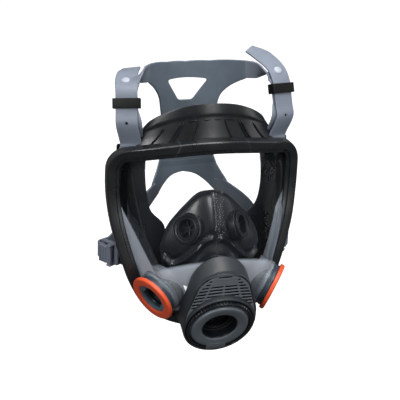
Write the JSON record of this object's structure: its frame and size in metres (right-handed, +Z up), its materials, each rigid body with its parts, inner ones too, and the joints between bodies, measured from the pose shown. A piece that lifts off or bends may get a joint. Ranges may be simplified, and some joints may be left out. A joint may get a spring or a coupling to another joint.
{
  "type": "full face respirator",
  "caption": "Full face respirator with a wide bubble lens in a clamped ring, rubber facepiece, nose cup, side bayonet ports, a front connector and a strapped head harness.",
  "frame": {"origin": "middle of the face opening, on the wearer's cheek plane", "axes": "+Y into the mask towards the wearer's head, +Z up, +X to the right as seen from the front"},
  "size_m": [0.1906, 0.1539, 0.2632],
  "materials": {
    "ring": "semi-gloss moulded black",
    "lens": "clear polycarbonate, polished",
    "rubber": "smooth moulded blue-black rubber",
    "housing": "dark grey, fine matte",
    "disc": "mid grey, satin",
    "orange": "orange, satin",
    "silicone": "thin translucent grey silicone",
    "film": "thin smooth film",
    "strap": "light grey matte rubber",
    "plate": "mid grey matte rubber",
    "keeper": "black satin",
    "buckle": "grey satin",
    "pin": "drawn steel"
  },
  "bodies": {
    "mask": {"lens_ring": "ring", "lens_ring_bridge": "ring", "lens": "lens", "facepiece": "rubber", "nose_cup": "rubber", "side_port_gasket_left": "rubber", "side_port_gasket_right": "rubber", "front_port_gasket": "rubber", "nose_cup_valve_seat_left": "housing", "nose_cup_valve_seat_right": "housing", "side_port_body_left": "housing", "side_port_body_right": "housing", "side_port_clamp_left": "housing", "side_port_clamp_right": "housing", "front_housing": "housing", "grille_cover": "housing", "diaphragm_ring": "housing", "front_valve_seat": "housing", "front_port_insert": "disc", "bayonet_ring_left": "orange", "bayonet_ring_right": "orange", "speaking_diaphragm": "film", "temple_strap_left": "strap", "temple_strap_right": "strap", "cheek_strap_left": "strap", "cheek_strap_right": "strap", "harness_plate": "plate", "temple_buckle_left": "keeper", "temple_buckle_right": "keeper", "cheek_buckle_left": "buckle", "cheek_buckle_right": "buckle", "cheek_buckle_pin_left": "pin", "cheek_buckle_pin_right": "pin"},
    "nose_cup_valve_disc_left": {"nose_cup_valve_disc_left": "silicone"},
    "nose_cup_valve_disc_right": {"nose_cup_valve_disc_right": "silicone"},
    "side_valve_disc_left": {"side_valve_disc_left": "silicone"},
    "side_valve_disc_right": {"side_valve_disc_right": "silicone"},
    "exhalation_valve_disc": {"exhalation_valve_disc": "silicone"},
    "front_valve_disc": {"front_valve_disc": "silicone"},
    "front_port_ring": {"front_port_ring": "housing"},
    "keeper_left": {"keeper_left": "keeper"},
    "keeper_right": {"keeper_right": "keeper"},
    "cheek_buckle_lever_left": {"cheek_buckle_lever_left": "buckle"},
    "cheek_buckle_lever_right": {"cheek_buckle_lever_right": "buckle"}
  },
  "joints": [
    {"name": "nose_cup_valve_left", "type": "slide", "parent": "mask", "child": "nose_cup_valve_disc_left", "axis": [0.7499, 0.545, -0.375], "range_m": [0, 0.0015], "stiffness_N_per_m": 20, "springref_m": -0.0006},
    {"name": "nose_cup_valve_right", "type": "slide", "parent": "mask", "child": "nose_cup_valve_disc_right", "axis": [-0.7499, 0.545, -0.375], "range_m": [0, 0.0015], "stiffness_N_per_m": 20, "springref_m": -0.0006},
    {"name": "side_valve_left", "type": "slide", "parent": "mask", "child": "side_valve_disc_left", "axis": [0.8035, 0.46, 0.378], "range_m": [0, 0.002], "stiffness_N_per_m": 20, "springref_m": -0.0006},
    {"name": "side_valve_right", "type": "slide", "parent": "mask", "child": "side_valve_disc_right", "axis": [-0.8035, 0.46, 0.378], "range_m": [0, 0.002], "stiffness_N_per_m": 20, "springref_m": -0.0006},
    {"name": "exhalation_valve", "type": "slide", "parent": "mask", "child": "exhalation_valve_disc", "axis": [0, -1, 0], "range_m": [0, 0.002], "stiffness_N_per_m": 20, "springref_m": -0.0006},
    {"name": "front_valve", "type": "slide", "parent": "mask", "child": "front_valve_disc", "axis": [0, 0.9212, 0.3891], "range_m": [0, 0.002], "stiffness_N_per_m": 20, "springref_m": -0.0006},
    {"name": "front_port_turn", "type": "hinge", "parent": "mask", "child": "front_port_ring", "pos_m": [0, -0.0816, -0.0871], "axis": [0, -0.9212, -0.3891], "range_deg": [0, 30]},
    {"name": "keeper_slide_left", "type": "slide", "parent": "mask", "child": "keeper_left", "axis": [0.0536, 0.3447, 0.9372], "range_m": [-0.003, 0.007]},
    {"name": "keeper_slide_right", "type": "slide", "parent": "mask", "child": "keeper_right", "axis": [-0.0536, 0.3447, 0.9372], "range_m": [-0.01, 0.002]},
    {"name": "cheek_lever_left", "type": "hinge", "parent": "mask", "child": "cheek_buckle_lever_left", "pos_m": [-0.08651, -0.00472, -0.0425], "axis": [0, 0, 1], "range_deg": [0, 35]},
    {"name": "cheek_lever_right", "type": "hinge", "parent": "mask", "child": "cheek_buckle_lever_right", "pos_m": [0.08651, -0.00472, -0.0425], "axis": [0, 0, -1], "range_deg": [0, 35]}
  ]
}
